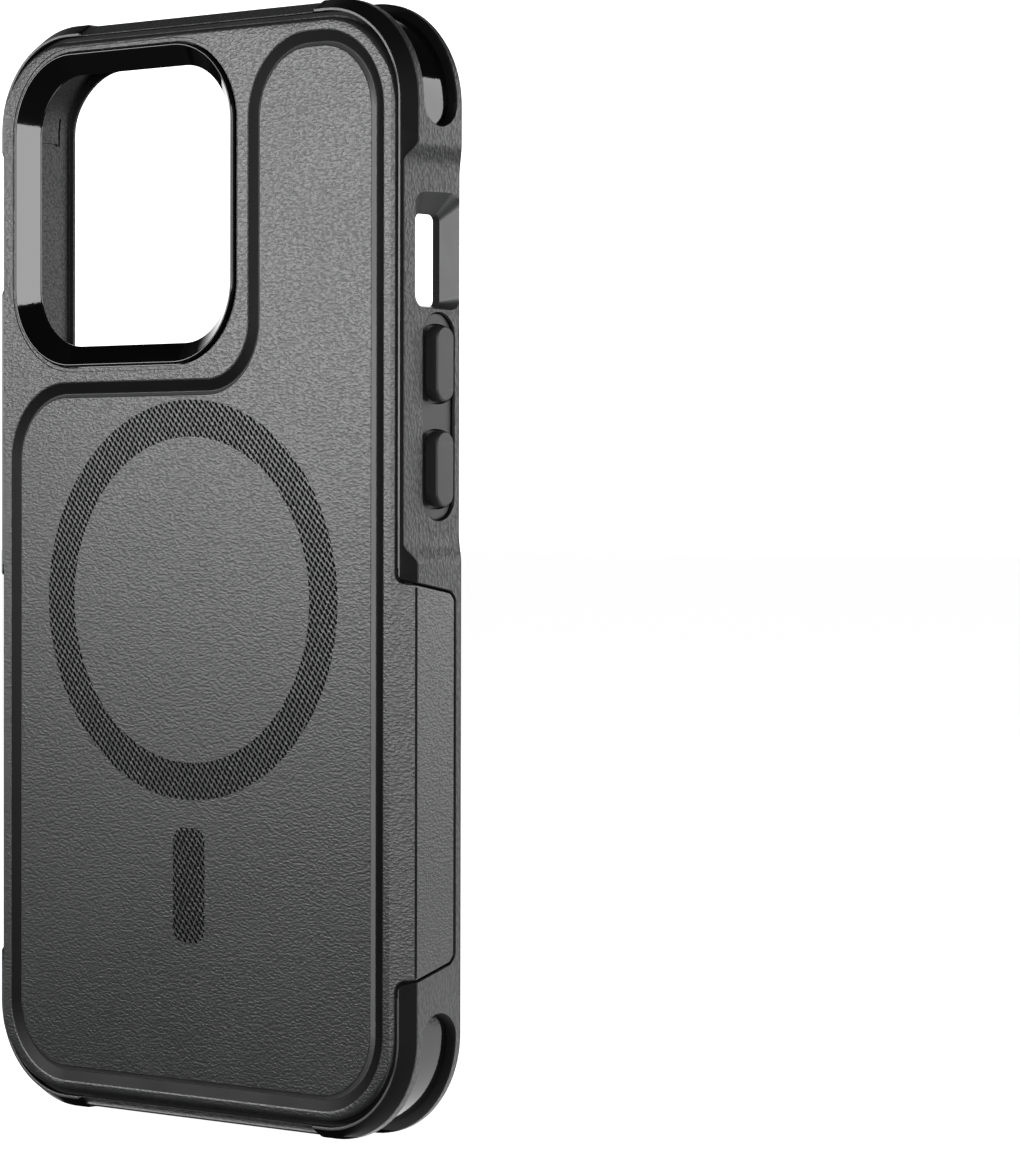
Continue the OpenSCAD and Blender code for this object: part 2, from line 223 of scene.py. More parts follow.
class Piece:
    """Points and faces of one piece, in the millimetres of the drawings."""

    def __init__(self):
        self.points = []
        self.faces = []
        self.finishes = []
        self.finish = 0

    def face(self, corners):
        self.faces.append(corners)
        self.finishes.append(self.finish)

    def ring(self, xyz):
        start = len(self.points)
        self.points.extend(tuple(float(c) for c in p) for p in xyz)
        return list(range(start, start + len(xyz)))

    def skin(self, rings, closed=True):
        for a, b in zip(rings[:-1], rings[1:]):
            count = len(a)
            for i in range(count if closed else count - 1):
                j = (i + 1) % count
                self.face((a[i], a[j], b[j], b[i]))

    def fill(self, rims, surface, ties=(), lines=()):
        """rims are (ring, flat outline) pairs: the outer one first, then the holes. A tie is an
        edge between two rim points, as (rim, index) pairs; a line is an edge between free points."""
        flat, owners, edges, starts = [], [], [], []
        for ring, outline in rims:
            start, count = len(flat), len(outline)
            starts.append(start)
            flat.extend(Vector((float(u), float(v))) for u, v in outline)
            owners.extend(ring)
            edges.extend((start + i, start + (i + 1) % count) for i in range(count))
        edges.extend((starts[a] + i, starts[b] + j) for (a, i), (b, j) in ties)
        for a, b in lines:
            edges.append((len(flat), len(flat) + 1))
            flat.extend([Vector(a), Vector(b)])
            owners.extend([None, None])
        found = delaunay_2d_cdt(flat, edges, [], 0, 1e-6)
        spots = np.array([list(p) for p in found[0]])
        faces = np.array([list(f) for f in found[2]])
        centres = spots[faces].mean(axis=1)
        keep = inside(centres, rims[0][1])
        for _, outline in rims[1:]:
            keep &= ~inside(centres, outline)
        faces = faces[keep]
        index = {}
        for k, source in enumerate(found[3]):
            known = [owners[s] for s in source if owners[s] is not None]
            if known:
                index[k] = known[0]
        fresh = [int(k) for k in np.unique(faces) if int(k) not in index]
        if fresh:
            index.update(zip(fresh, self.ring(surface(spots[fresh]))))
        for face in faces:
            self.face(tuple(index[int(k)] for k in face))

    def stack(self, levels, surface, caps=(), ties=()):
        """Joins (outline, depth) levels, and closes the levels that caps names."""
        rings = [self.ring(surface(flat, depth)) for flat, depth in levels]
        self.skin(rings)
        for k in caps:
            flat, depth = levels[k]
            self.fill([(rings[k], flat)], lambda uv, d=depth: surface(uv, d), ties)
        return rings

    def column(self, outline, levels, surface, ties=()):
        """A closed solid: copies of an outline at (growth, depth) levels."""
        self.stack([(grow(outline, g), d) for g, d in levels], surface, (0, -1), ties)

    def mesh(self, name, weld=0.0005):
        data = bpy.data.meshes.new(name)
        bm = bmesh.new()
        corners = [bm.verts.new(p) for p in to_frame(self.points)]
        for face, finish in zip(self.faces, self.finishes):
            keys = list(dict.fromkeys(face))
            if len(keys) > 2 and not bm.faces.get([corners[k] for k in keys]):
                bm.faces.new([corners[k] for k in keys]).material_index = finish
        bmesh.ops.remove_doubles(bm, verts=bm.verts, dist=weld * MM)
        loose = [v for v in bm.verts if not v.link_faces]
        bmesh.ops.delete(bm, geom=loose, context="VERTS")
        bmesh.ops.recalc_face_normals(bm, faces=bm.faces)
        open_edges = sum(1 for edge in bm.edges if len(edge.link_faces) != 2)
        bm.to_mesh(data)
        bm.free()
        if open_edges:
            print(name, "has", open_edges, "open edges")
        return data


def back_plane(xz, depth):
    """Points (x, z) on a plane parallel to the back; depth goes into the case."""
    return np.stack([xz[:, 0], np.broadcast_to(depth, len(xz)), xz[:, 1]], axis=1)


def soften(obj, sharp_angle=38.0):
    """Smooth shading that stays flat on flat faces: sharp edges by angle, normals by area."""
    obj.data.shade_smooth()
    obj.data.set_sharp_from_angle(angle=math.radians(sharp_angle))
    obj.modifiers.new("even_normals", "WEIGHTED_NORMAL").keep_sharp = True


def add_piece(name, data, materials, body, replaced=()):
    """Links a mesh as a piece of the case and tells the frame where it belongs."""
    obj = bpy.data.objects.new(name, data)
    bpy.context.scene.collection.objects.link(obj)
    if not data.materials:
        for material in materials:
            data.materials.append(material)
    soften(obj)
    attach(obj, body)
    if replaced:
        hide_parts(*replaced)
    print(name, "has", len(data.polygons), "faces")
    return obj


# %% [markdown]
# ## Small helpers for node trees
# Every finish is a short sum of noises and masks. These helpers add one node each and link its
# inputs, so the recipes below read as sums instead of long lists of links.

# %% Node helpers
FLOAT, VECTOR = "NodeSocketFloat", "NodeSocketVector"


def new_group(name, inputs, outputs):
    """A node group with named sockets; inputs carry their usual values."""
    group = bpy.data.node_groups.new(name, "ShaderNodeTree")
    for label, kind, value in inputs:
        socket = group.interface.new_socket(name=label, in_out="INPUT", socket_type=kind)
        if value is not None:
            socket.default_value = value
    for label in outputs:
        group.interface.new_socket(name=label, in_out="OUTPUT", socket_type=FLOAT)
    return group, group.nodes.new("NodeGroupInput"), group.nodes.new("NodeGroupOutput")


def give_out(group, group_out, **results):
    """Links the results of a group to its outputs."""
    for label, socket in results.items():
        group.links.new(socket, group_out.inputs[label])


def new_node(tree, kind, inputs=None, **options):
    """A shader node with its options; each input is a socket to link or a value to set."""
    node = tree.nodes.new("ShaderNode" + kind)
    for option, value in options.items():
        setattr(node, option, value)
    for label, value in (inputs or {}).items():
        if isinstance(value, bpy.types.NodeSocket):
            tree.links.new(value, node.inputs[label])
        elif value is not None:
            node.inputs[label].default_value = value
    return node


def math_node(tree, operation, a, b=None, c=None):
    return new_node(tree, "Math", {0: a, 1: b, 2: c}, operation=operation).outputs[0]


def ranged(tree, value, low, high, to_low=0.0, to_high=1.0):
    """A Map Range node, smooth at both ends."""
    limits = {"From Min": low, "From Max": high, "To Min": to_low, "To Max": to_high}
    node = new_node(tree, "MapRange", {"Value": value, **limits}, interpolation_type="SMOOTHSTEP")
    return node.outputs["Result"]


def noise(tree, vector, scale, detail=2.0, roughness=0.5, distortion=0.0):
    inputs = {"Vector": vector, "Scale": scale, "Detail": detail, "Roughness": roughness}
    return new_node(tree, "TexNoise", {**inputs, "Distortion": distortion}).outputs["Fac"]


print("node helpers ready")

# %% [markdown]
# ## Moulded grain, shared by both shells
# The mould of a case like this is etched, so the plastic comes out with a fine leather grain: small
# rounded pads of about half a millimetre with creases between them. A Voronoi texture gives the
# pads and noise bends them, so no two are alike. Both shells use it at their own size, so the
# grain is one node group, and it gives out a height, a tone and a roughness change.

# %% Node group: moulded grain
bend_scale, bend_by = 1700.0, 0.0006
coarse_scale, coarse_share = 1500.0, 0.75
fine_scale, fine_share = 6500.0, 0.18
height_low, height_high = 0.4, 1.5

grain, grain_in, grain_out = new_group("moulded grain", [
    ("Vector", VECTOR, None), ("Pads per metre", FLOAT, 1500.0), ("Stretch", VECTOR, (1.0, 1.0, 1.0)),
], ("Height", "Tone", "Rough"))
stretched = new_node(grain, "VectorMath", {
    0: grain_in.outputs["Vector"], 1: grain_in.outputs["Stretch"],
}, operation="MULTIPLY").outputs[0]
bend = new_node(grain, "TexNoise", {"Vector": stretched, "Scale": bend_scale, "Detail": 2.0})
bent = new_node(grain, "VectorMath", {
    0: bend.outputs["Color"], 1: (bend_by, bend_by, bend_by), 2: stretched,
}, operation="MULTIPLY_ADD").outputs[0]
pads = new_node(grain, "TexVoronoi", {
    "Vector": bent, "Scale": grain_in.outputs["Pads per metre"], "Smoothness": 0.7,
}, feature="SMOOTH_F1")
height = ranged(grain, pads.outputs["Distance"], 0.15, 0.85, 1.0, 0.0)
coarse = noise(grain, bent, coarse_scale, 3.0, 0.6)
fine = noise(grain, stretched, fine_scale, 2.0, 0.6)
height = math_node(grain, "MULTIPLY_ADD", coarse, coarse_share, height)
height = math_node(grain, "MULTIPLY_ADD", fine, fine_share, height)
give_out(grain, grain_out, Height=height,
         Tone=ranged(grain, height, height_low, height_high, 0.82, 1.12),
         Rough=ranged(grain, height, height_low, height_high, 0.07, -0.05))
print("grain group has", len(grain.nodes), "nodes")

# %% [markdown]
# ## Painted edge highlights and handling marks, shared by every finish
# Even a new case is not perfectly even: edges polish as the hand passes over them, and a little dust
# and skin oil sits on the flats. The edge mask is found from the angle between the true normal and a
# softened one (the Bevel node does that at render time); materials use it for that polish and also
# lighten their colour there, a painted highlight. The patches come from broad noise. The group only
# gives out masks; each material decides what they do.

# %% Node group: painted edge highlight, polish and patches
highlight_and_wear, highlight_and_wear_in, highlight_and_wear_out = new_group("painted edge highlight, polish and patches", [
    ("Vector", VECTOR, None), ("Edge width", FLOAT, 0.00035), ("Patches per metre", FLOAT, 45.0),
], ("Edge", "Patches", "Specks"))
spot = highlight_and_wear_in.outputs["Vector"]
soft_edge = new_node(highlight_and_wear, "Bevel", {"Radius": highlight_and_wear_in.outputs["Edge width"]}, samples=4)
agree = new_node(highlight_and_wear, "VectorMath", {
    0: soft_edge.outputs["Normal"], 1: new_node(highlight_and_wear, "NewGeometry").outputs["True Normal"],
}, operation="DOT_PRODUCT")
edge = ranged(highlight_and_wear, agree.outputs["Value"], 0.995, 0.90)
broken = ranged(highlight_and_wear, noise(highlight_and_wear, spot, 1400.0, 3.0, 0.65), 0.30, 0.62)
patches = noise(highlight_and_wear, spot, highlight_and_wear_in.outputs["Patches per metre"], 4.0, 0.6, 0.4)
specks = noise(highlight_and_wear, spot, 3300.0, 1.0, 0.5)
give_out(highlight_and_wear, highlight_and_wear_out, Edge=math_node(highlight_and_wear, "MULTIPLY", edge, broken),
         Patches=ranged(highlight_and_wear, patches, 0.32, 0.70), Specks=ranged(highlight_and_wear, specks, 0.70, 0.80))
print("wear group has", len(highlight_and_wear.nodes), "nodes")

# %% [markdown]
# ## Finishes
# All the visible plastics are black or charcoal, so they differ mostly by gloss and grain. One recipe
# builds them: a base tone, a roughness, an amount of grain, wear and painted edge highlight. The gloss
# black parts get no grain, only a very low roughness. Narrow faces such as the groove and the chamfer of
# the panel are smooth, because a mould is etched only on its broad faces; the groove is painted darker
# as painted shade and the chamfer lighter as painted light.

# %% Recipe of a finish


def finish(name, tone, roughness, pads=0.0, depth=0.0, stretch_by=(1.0, 1.0, 1.0), edge_highlight=0.5,
           patch_rough=0.06, metallic=0.0, specular=0.5, speck_light=0.25, fine_depth=0.004):
    """A procedural plastic or metal: tone is its linear colour, depth the grain height in mm."""
    material = bpy.data.materials.new(name)
    material.use_nodes = True
    tree = material.node_tree
    shader = tree.nodes["Principled BSDF"]
    shader.inputs["Metallic"].default_value = metallic
    shader.inputs["Specular IOR Level"].default_value = specular
    place = new_node(tree, "TexCoord").outputs["Object"]
    marks = new_node(tree, "Group", node_tree=highlight_and_wear)
    tree.links.new(place, marks.inputs["Vector"])
    edge, patches, specks = (marks.outputs[k] for k in ("Edge", "Patches", "Specks"))
    # Painted highlight along edges: the edge mask lightens the base colour.
    light = math_node(tree, "MULTIPLY_ADD", edge, edge_highlight, 1.0)
    light = math_node(tree, "MULTIPLY_ADD", specks, speck_light, light)
    light = math_node(tree, "MULTIPLY", light, ranged(tree, patches, 0.0, 1.0, 0.93, 1.07))
    rough = math_node(tree, "MULTIPLY_ADD", patches, patch_rough, roughness)
    # The edge mask also lowers the roughness a little, as a real polish.
    rough = math_node(tree, "MULTIPLY_ADD", edge, -0.10 * roughness, rough)
    if pads:
        texture = new_node(tree, "Group", node_tree=grain)
        texture.inputs["Pads per metre"].default_value = pads
        texture.inputs["Stretch"].default_value = stretch_by
        tree.links.new(place, texture.inputs["Vector"])
        light = math_node(tree, "MULTIPLY", light, texture.outputs["Tone"])
        rough = math_node(tree, "ADD", rough, texture.outputs["Rough"])
        height = texture.outputs["Height"]
    else:
        height = noise(tree, place, 2600.0, 2.0, 0.55)
        depth = fine_depth
    bump = new_node(tree, "Bump", {"Height": height, "Strength": 1.0, "Distance": depth * MM})
    colour = new_node(tree, "CombineColor", {
        channel: math_node(tree, "MULTIPLY", light, share)
        for channel, share in zip(("Red", "Green", "Blue"), tone)
    })
    tree.links.new(colour.outputs["Color"], shader.inputs["Base Color"])
    tree.links.new(rough, shader.inputs["Roughness"])
    tree.links.new(bump.outputs["Normal"], shader.inputs["Normal"])
    return material


print("recipe ready, groups:", grain.name, "and", highlight_and_wear.name)

# %% Finishes
charcoal = (0.016, 0.0164, 0.0168)
# The edge value of each finish sets how much its colour is lightened along edges, a painted highlight; the
# smooth bumper faces and the gloss black get the most.
hard_shell = finish("hard shell charcoal", charcoal, 0.345, 2300.0, 0.020, (0.75, 1.0, 1.4),
                    edge_highlight=0.2, patch_rough=0.02)
# The groove is the shell plastic without grain, painted about four times darker than the shell as painted
# shade.
groove_painted_shade = finish("hard shell smooth groove, painted shade", (0.004, 0.004, 0.0043), 0.36, specular=0.10,
                     edge_highlight=0.3, fine_depth=0.003)
# The chamfer is the shell plastic without grain, painted about three times lighter than the shell as
# painted light.
chamfer_painted_light = finish("hard shell chamfer, painted light", (0.052, 0.0525, 0.053), 0.38, fine_depth=0.003)
soft_grain = finish("soft bumper grained", (0.020, 0.0205, 0.021), 0.47, 2000.0, 0.042,
                    (1.0, 1.3, 0.75), edge_highlight=0.2)
soft_smooth = finish("soft bumper smooth", (0.0035, 0.0035, 0.0038), 0.50, specular=0.12,
                     edge_highlight=1.0, fine_depth=0.003)
soft_inside = finish("soft bumper inside", (0.011, 0.0113, 0.0116), 0.48, 2600.0, 0.02,
                     specular=0.32, edge_highlight=0.2)
# A glossier copy of the bumper plastic with a lighter tone, a painted highlight along the land and the
# switch mouth.
soft_polished_lit = finish("soft bumper polished, painted light", (0.026, 0.0265, 0.027), 0.40, specular=0.7,
                       edge_highlight=0.2, fine_depth=0.003)
gloss_black = finish("gloss black", (0.002, 0.002, 0.0022), 0.05, patch_rough=0.015, edge_highlight=2.0)
strip_smooth = finish("smooth strip", charcoal, 0.53, fine_depth=0.003, edge_highlight=0.2)
key_satin = finish("satin key", charcoal, 0.52, fine_depth=0.002, edge_highlight=0.3)
print_black = finish("mark print", (0.0015, 0.0015, 0.0017), 0.60, 2600.0, 0.01, specular=0.05)
magnet_nickel = finish("magnet nickel", (0.52, 0.50, 0.46), 0.24, metallic=1.0, edge_highlight=0.2,
                       fine_depth=0.002)
backing_film = finish("backing film", (0.62, 0.60, 0.54), 0.42, edge_highlight=0.1, fine_depth=0.006)
plate_finishes = [hard_shell, groove_painted_shade, chamfer_painted_light]
SHELL, GROOVE, CHAMFER = range(3)
bumper_finishes = [soft_grain, soft_smooth, soft_inside, soft_polished_lit]
GRAINED, SMOOTH, INSIDE, POLISHED_LIT = range(4)
print("finishes:", [m.name for m in bpy.data.materials])

# %% [markdown]
# ## The hard back plate with its wings
# The plate is one moulding: a flat back, and on each side a wing that folds over the bevel and lies
# in the side wall. A wing's edge crosses the bevel at a slant, which is awkward to model in place.
# So the plate is drawn flat, like sheet metal before bending, and a function folds it round the
# bevel. Outlines, grooves and round edges are then all drawn in the flat.

# %% Folding a flat plan round the bevel
back_bevel = 2.55
crease_u = half_w - back_bevel
side_u = crease_u + back_bevel * math.sqrt(2)
edge_u = crease_u + 0.5 * math.sqrt(2)
plate_t = 1.6
wing_t = 1.0
FOLD = math.tan(math.radians(22.5))
SLANT = math.sqrt(0.5)


def sheet(uv, depth=0.0):
    """Folds points of the flat plan round the bevel; depth goes into the case."""
    u, side, v = np.abs(uv[:, 0]), np.sign(uv[:, 0]), uv[:, 1]
    along = np.clip((u - crease_u) / (side_u - crease_u), 0, 1)
    past = np.maximum(u - side_u, 0)
    x = np.minimum(u, crease_u) + along * back_bevel
    y = along * back_bevel + past
    lean = (1 - 2 * along) * FOLD * SLANT
    in_x = np.where(u < side_u, -SLANT + lean, -1.0)
    in_y = np.where(u < side_u, SLANT + lean, FOLD * np.clip(1 - past / 1.2, 0, 1))
    upright = np.clip((39.5 - u) / 1.2, 0, 1)
    in_x = in_x * (1 - upright)
    in_y = in_y * (1 - upright) + upright
    return np.stack([side * (x + in_x * depth), y + in_y * depth, v], axis=1)


def sheet_thickness(uv):
    return np.interp(np.abs(uv[:, 0]), [crease_u, edge_u, 39.5], [plate_t, 1.1, wing_t])


wing_side = [
    (edge_u, -55.2, 1.5), (side_u, -55.05, 0.0), (47.95, -53.1, 0.9), (48.81, -52.2, 0.9),
    (48.81, -4.0, 0.9), (48.0, -3.1, 0.9), (side_u, -1.95, 0.0), (edge_u, -1.6, 1.3),
]
plan = [(-edge_u, -75.1, 12.8), (edge_u, -75.1, 12.8)] + wing_side
plan += [(edge_u, 75.1, 12.8), (-edge_u, 75.1, 12.8)]
plan += [(-u, v, r) for u, v, r in reversed(wing_side)]
folds = [-side_u, -crease_u, crease_u, side_u]
plate_plan = cut_at(round_outline(plan), folds)
print("plate plan has", len(plate_plan), "points")
print("a wing reaches", round(48.81 - side_u, 2), "mm down the side")

# %% [markdown]
# ## Grooves and rims of the plate
# A raised panel fills most of the back. Round it runs a groove with a long slope on the outside
# and a short steep wall at the panel. The window has a shallow step round it, and each wing has a
# fine V-groove where the bevel meets the side. Each of these is a few copies of one outline, set
# at different growths and depths.

# %% Panel, window and wing grooves as outlines
panel_plan = round_outline([
    (-33.7, -71.6, 9.0), (34.0, -71.6, 9.0), (34.0, 71.2, 9.0),
    (13.4, 71.2, 9.0), (13.4, 24.2, 10.0), (-33.7, 24.2, 9.0),
])
panel_groove = [(2.38, 0.0), (2.28, 0.02), (2.14, 0.07), (0.68, 0.47), (0.55, 0.50), (0.45, 0.46),
                (0.07, 0.07), (0.0, 0.02), (-0.08, 0.0)]
window_x, window_z = -13.05, 51.1
window_w, window_h, window_r = 37.5, 38.9, 8.5
bezel_w = 3.0
window_plan = round_rect(window_x, window_z, window_w, window_h, window_r)
window_section = ((0.78, 0.0), (0.70, 0.13), (0.24, 0.13), (0.14, 0.24), (0.14, plate_t))
window_step = [(bezel_w + g, d) for g, d in window_section]
plate_edge = [(1.0, 0.0), (0.5, 0.134), (0.134, 0.5), (0.0, 1.0)]


def edge_round(uv):
    """How round the outer edge is: fine on the wings, and as wide as the bevel at the ends."""
    return 0.13 + 0.45 * np.clip((crease_u - 0.3 - np.abs(uv[:, 0])) / 1.5, 0, 1)


def hold_folds(flat):
    """Slides the fold points of a grown outline back onto the fold lines."""
    held = np.array(flat, dtype=float)
    run = np.roll(held, -1, axis=0) - np.roll(held, 1, axis=0)
    for fold in folds:
        for i in np.nonzero(np.abs(np.asarray(plate_plan)[:, 0] - fold) < 1e-6)[0]:
            held[i] += run[i] * (fold - held[i][0]) / run[i][0]
    return held


print("panel groove is", panel_groove[0][0], "mm wide and", max(d for _, d in panel_groove), "mm deep")

# %% Build the plate
plate = Piece()
rounding = edge_round(plate_plan)
plate_rings, plate_flats = [], []
for share, deep in plate_edge:
    flat = hold_folds(grow(plate_plan, -share * rounding))
    plate_flats.append(flat)
    plate_rings.append(plate.ring(sheet(flat, deep * rounding)))
plate_flats.append(plate_plan)
plate_rings.append(plate.ring(sheet(plate_plan, sheet_thickness(plate_plan))))
plate.skin(plate_rings)

groove_rings = [plate.ring(sheet(grow(panel_plan, g), d)) for g, d in panel_groove]
plate.finish = GROOVE
plate.skin(groove_rings[2:5])
plate.finish = CHAMFER
plate.skin(groove_rings[4:7])
plate.finish = SHELL
plate.skin(groove_rings[:3])
plate.skin(groove_rings[6:])
plate.fill([(groove_rings[-1], grow(panel_plan, panel_groove[-1][0]))], sheet)

step_rings = plate.stack([(grow(window_plan, g), d) for g, d in window_step], sheet)

front_rims = [
    (plate_rings[0], plate_flats[0]),
    (groove_rings[0], grow(panel_plan, panel_groove[0][0])),
    (step_rings[0], grow(window_plan, window_step[0][0])),
]
back_rims = [(plate_rings[-1], plate_plan), (step_rings[-1], grow(window_plan, window_step[-1][0]))]
vee_half, vee_deep = 0.21, 0.34
vee_low, vee_high = -54.8, -2.2
for side in (-1, 1):
    vee = round_rect(side * side_u, (vee_low + vee_high) / 2, 2 * vee_half, vee_high - vee_low, 0.0)
    vee = cut_at(vee, [side * side_u])
    top_ring = plate.ring(sheet(vee))
    low = np.stack([np.full(len(vee), side * side_u), vee[:, 1]], axis=1)
    plate.skin([top_ring, plate.ring(sheet(low, vee_deep))])
    front_rims.append((top_ring, vee))

front_ties = []
for u in folds:
    crossing = sorted((i for i in range(len(plate_plan)) if abs(plate_plan[i][0] - u) < 1e-6),
                      key=lambda i: plate_plan[i][1])
    if abs(u) < side_u - 1e-6:
        front_ties.append(((0, crossing[0]), (0, crossing[-1])))
        continue
    rim = 3 if u < 0 else 4
    vee = front_rims[rim][1]
    ends = sorted((i for i in range(len(vee)) if abs(vee[i][0] - u) < 1e-6), key=lambda i: vee[i][1])
    front_ties.append(((0, crossing[0]), (rim, ends[0])))
    front_ties.append(((rim, ends[-1]), (0, crossing[-1])))
plate.fill(front_rims, sheet, front_ties)
plate.fill(back_rims, lambda uv: sheet(uv, sheet_thickness(uv)), ties_at(plate_plan, folds))
add_piece("back_shell", plate.mesh("back_shell"), plate_finishes, "case", ["back_plate"])

# %% [markdown]
# ## The soft bumper: one section swept round the outline
# The bumper has nearly the same section all the way round: a bevel beside the plate, a grained
# side, a thin stripe, a bevel at the front and a lip that hooks over the screen. A sweep keeps its
# edges clean. Three values change on the way: how far the side is set back (for the grip
# recesses), how high the bevel stands (higher bands guard the corners), and how far the lip
# reaches (more at the ends than at the sides).

# %% Stations round the outline
corner_r = 14.8
corner_x = half_w - corner_r
corner_z = half_h - corner_r
grip_right = (0.8, 57.8)
grip_left = (-0.7, 60.6)
thumb_notch = (39.8, 60.3)
grip_back, grip_front = 1.1, 0.8
ramp_back, ramp_front = 2.9, 4.4
band_end = 22.3
band_step = 0.5
strip_drop, notch_drop = 0.42, 0.34
end_drop = 0.3


def smooth_step(value, low, high):
    t = np.clip((value - low) / (high - low), 0.0, 1.0)
    return t * t * (3 - 2 * t)


def along(start, stop, marks, pace=4.0):
    """Places from start to stop, close together near the marks."""
    near = [m + k * 0.2 for m in marks for k in range(-9, 10)]
    every = list(np.linspace(start, stop, max(2, int(abs(stop - start) / pace) + 1)))
    low, high = sorted((start, stop))
    places = sorted({round(p, 4) for p in every + near if low <= p <= high}, reverse=bool(start > stop))
    return places[:-1]


def set_back(z, grip):
    """How far the side is set back at its back edge and at its front edge."""
    return tuple(
        deep * smooth_step(z, grip[0], grip[0] + ramp) * (1 - smooth_step(z, grip[1] - ramp, grip[1]))
        for deep, ramp in ((grip_back, ramp_back), (grip_front, ramp_front))
    )


stations = []
for z in along(-corner_z, corner_z, (1.2, 3.0, 4.8, 54.0, 55.8, 57.4)):
    stations.append(((half_w, z), (1, 0), set_back(z, grip_right), 0.0, 0.0))


def add_corner(sign_x, sign_z, start):
    for k in range(30):
        turn = math.radians(start + 3 * k)
        out = (math.cos(turn), math.sin(turn))
        spot = (sign_x * corner_x + corner_r * out[0], sign_z * corner_z + corner_r * out[1])
        stations.append((spot, out, (0.0, 0.0), 0.0, float(smooth_step(abs(out[1]), 0.1, 0.95))))


def add_end(sign):
    for x in along(sign * corner_x, -sign * corner_x, (-band_end, band_end)):
        strip = 1 - smooth_step(abs(x), band_end, band_end + band_step)
        step = end_drop * strip
        stations.append(((x, sign * half_h), (0, sign), (step, step), strip_drop * strip, 1.0))


add_corner(1, 1, 0)
add_end(1)
add_corner(-1, 1, 90)
for z in along(corner_z, -corner_z, (-0.2, 1.6, 3.0, 39.8, 57.0, 58.6, 60.0)):
    notch = smooth_step(z, thumb_notch[0] - 0.3, thumb_notch[0] + 0.5) * (1 - smooth_step(z, 59.3, 60.3))
    stations.append(((-half_w, z), (-1, 0), set_back(z, grip_left), notch_drop * notch, 0.0))
add_corner(-1, -1, 180)
add_end(-1)
add_corner(1, -1, 270)
print("stations round the bumper:", len(stations))

# %% The section at a station
back_wall = 3.7
front_slope = 1.0 / 1.7
front_from = thickness - 1.0
land_in, land_out, land_y, band_y = 1.86, 1.42, 0.70, 2.90
section_finish = [SMOOTH, SMOOTH, POLISHED_LIT, SMOOTH, GRAINED, SMOOTH, GRAINED, INSIDE, SMOOTH] + [INSIDE] * 4


def section(side, drop, end):
    """Corners of the section: reach from the outline, depth and radius of each."""
    at_back, at_front = side
    bevel_y = land_y + (land_out - at_back) / land_out * (band_y - land_y)
    land = land_in - (land_in - land_out) * (1 - 0.85 * end * drop / strip_drop)
    front = front_from + front_slope * at_front
    lip, wall = 4.95 + 0.8 * end, 4.15 - 0.2 * end
    return [
        (-2.4, plate_t + 0.02, 0), (-land_in, plate_t + 0.02, 0.04), (-land_in, land_y + drop, 0.12),
        (-land, land_y + drop, 0.05), (-at_back, bevel_y + drop, 0.45),
        (-at_front, front - 0.32, 0.10), (-at_front - 0.27, front + 0.16, 0.06),
        (-1.7, thickness, 0.12), (-3.2, thickness, 0.15), (-lip, thickness - 0.75, 0.15),
        (-lip, thickness - 1.22, 0.08), (-wall, thickness - 1.25, 0.03), (-wall, back_wall, 0.7),
        (-wall - 0.75, back_wall, 0),
    ]


bumper = Piece()
rings, underside, floor_rim = [], [], []
for (x, z), (out_x, out_z), side, drop, end in stations:
    cut, owner = round_outline(section(side, drop, end), pieces=3, owners=True)
    spots = np.stack([x + out_x * cut[:, 0], cut[:, 1], z + out_z * cut[:, 0]], axis=1)
    rings.append(bumper.ring(spots))
    underside.append(spots[0, [0, 2]])
    floor_rim.append(spots[-1, [0, 2]])
underside, floor_rim = np.array(underside), np.array(floor_rim)
for k in range(len(owner) - 1):
    part = min(owner[k + 1] - (owner[k] != owner[k + 1]), len(section_finish) - 1)
    for i, ring in enumerate(rings):
        on = rings[(i + 1) % len(rings)]
        plain_end = part in (2, 3) and stations[i][4] == 1.0 and stations[i][3] > 0.4
        bumper.finish = GRAINED if plain_end else section_finish[part]
        bumper.face((ring[k], ring[k + 1], on[k + 1], on[k]))
print("section has", len(owner), "points")

# %% [markdown]
# ## Diamonds on the inner back
# Inside, the soft back is cut by grooves into tall diamonds, which let it flex and cushion the
# phone. The grooves form a regular net: each column of points alternates between short upright
# ticks and short level ones, and slanting grooves join them, wide at the upright ticks and narrow
# at the level ones. The floor is built as one sheet that dips along the net, so it stays closed.

# %% The net of grooves
net_x, net_z = 10.9, 17.75
groove_deep = 0.42
wide, narrow = 0.62, 0.26
tick_up, tick_level = 1.9, 1.25
net = []
for column in range(-4, 5):
    for row in range(-5, 6):
        x, z = column * net_x, row * net_z
        if column % 2 == 0 and row % 2 == 0:
            net.append(((x, z - tick_up), (x, z + tick_up), wide * 0.8, wide * 0.8))
        if column % 2 and row % 2:
            net.append(((x - tick_level, z), (x + tick_level, z), narrow, narrow))
            for sx in (-1, 1):
                for sz in (-1, 1):
                    foot = (x + sx * tick_level, z)
                    head = (x + sx * net_x, z + sz * (net_z - tick_up))
                    net.append((foot, head, narrow, wide))


def net_depth(points):
    """How deep the net is cut at each point, between 0 and 1."""
    depth = np.zeros(len(points))
    for a, b, wide_a, wide_b in net:
        a, b = np.array(a), np.array(b)
        run = b - a
        share = np.clip(((points - a) @ run) / (run @ run), 0, 1)
        off = np.linalg.norm(points - a - share[:, None] * run, axis=1)
        depth = np.maximum(depth, 1 - off / (wide_a + (wide_b - wide_a) * share))
    return np.clip(depth, 0, 1)


opening_bevel = 0.55
opening_plan = round_rect(window_x, window_z, window_w + 3.4, window_h + 3.4, window_r + 1.7)
opening_edge = grow(opening_plan, opening_bevel)
net_limit = grow(floor_rim, -0.35)
net_hole = grow(opening_edge, 0.35)


